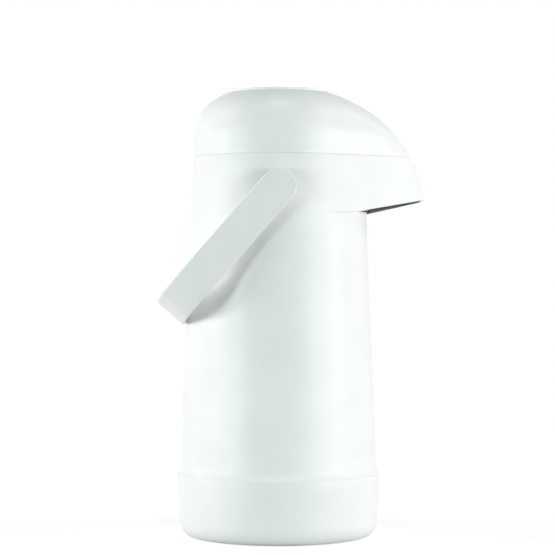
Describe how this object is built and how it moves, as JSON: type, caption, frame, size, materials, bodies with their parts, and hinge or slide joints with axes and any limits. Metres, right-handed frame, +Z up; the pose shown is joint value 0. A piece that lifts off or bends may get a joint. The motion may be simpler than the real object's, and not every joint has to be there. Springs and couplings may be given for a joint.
{
  "type": "pump pot",
  "caption": "Tall white pump pot: tapered vacuum jug with a domed hinged lid, push-button air pump, beaked spout and a swinging strap bail handle.",
  "frame": {"origin": "middle of the base's underside, on the table", "axes": "+Z up along the pot's axis, +X towards the beak, the bail pivots about Y"},
  "size_m": [0.1961, 0.1486, 0.33],
  "materials": {
    "white_plastic": "gloss",
    "dark_plastic": "matte",
    "natural_plastic": "satin",
    "silvered_glass": "silvered",
    "clear_glass": "clear",
    "soft_rubber": "matte",
    "steel": "satin"
  },
  "bodies": {
    "pot": {"body_casing": "white_plastic", "base_cup": "white_plastic", "refill_cushion": "soft_rubber", "refill_outer_glass": "silvered_glass", "refill_inner_glass": "clear_glass", "refill_spacers": "soft_rubber", "neck_gasket": "soft_rubber", "top_deck": "natural_plastic", "deck_screws": "steel", "pipe_elbow": "natural_plastic", "dip_tube": "natural_plastic", "dip_tube_foot": "natural_plastic", "spout_pipe": "natural_plastic", "spout_nozzle": "natural_plastic", "spout_plate": "dark_plastic", "hinge_pin": "steel"},
    "lid": {"lid_shell": "white_plastic", "pump_base": "natural_plastic", "pump_screws": "steel", "mouth_seal": "soft_rubber", "air_valve_flap": "soft_rubber", "bellows": "soft_rubber", "bellows_clamp_ring": "natural_plastic", "return_spring": "steel"},
    "button": {"push_button": "white_plastic", "bellows_head": "natural_plastic"},
    "bail": {"bail_handle": "white_plastic", "pivot_clips": "natural_plastic"}
  },
  "joints": [
    {"name": "bail_swing", "type": "hinge", "parent": "pot", "child": "bail", "pos_m": [0, 0, 0.2536], "axis": [0, 1, 0], "range_deg": [0, 277.6]},
    {"name": "lid_open", "type": "hinge", "parent": "pot", "child": "lid", "pos_m": [-0.0585, 0, 0.2836], "axis": [0, -1, 0], "range_deg": [0, 95]},
    {"name": "button_press", "type": "slide", "parent": "lid", "child": "button", "axis": [0, 0, -1], "range_m": [0, 0.022], "stiffness_N_per_m": 250, "springref_m": -0.01, "deforming": ["bellows", "return_spring"]}
  ]
}
